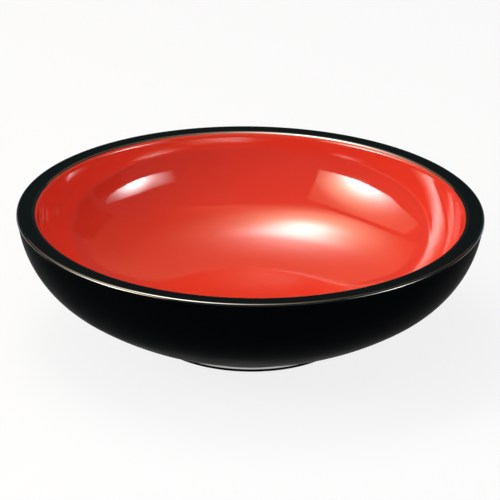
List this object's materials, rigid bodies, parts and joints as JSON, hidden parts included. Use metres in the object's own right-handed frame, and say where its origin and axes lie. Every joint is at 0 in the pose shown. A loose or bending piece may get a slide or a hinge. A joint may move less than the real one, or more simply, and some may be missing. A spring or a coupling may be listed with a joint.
{
  "type": "kneading bowl",
  "caption": "Wide, shallow kneading bowl with a thick wall, a broad flat rim over a small collar, a gently dished floor and a low foot ring, lacquered red inside and black outside.",
  "frame": {"origin": "on the bowl's axis, in the plane that the foot ring stands on", "axes": "+Z is the bowl's axis and points up, out of the mouth; the bowl is the same all round it, so +X and +Y are free"},
  "size_m": [0.45, 0.45, 0.127],
  "materials": {
    "wood_composite_body": "bare turned or moulded wood body, hidden under the lacquer",
    "black_foot_finish": "wooden ring stained and lacquered black, satin",
    "black_lacquer": "sprayed black lacquer film, satin gloss",
    "red_lacquer": "sprayed vermilion red lacquer film, high gloss"
  },
  "bodies": {
    "root": {"bowl_core": "wood_composite_body", "foot_ring": "black_foot_finish", "outer_black_coat": "black_lacquer", "rim_black_coat": "black_lacquer", "inner_red_coat": "red_lacquer", "base_black_coat": "black_lacquer"}
  },
  "joints": []
}
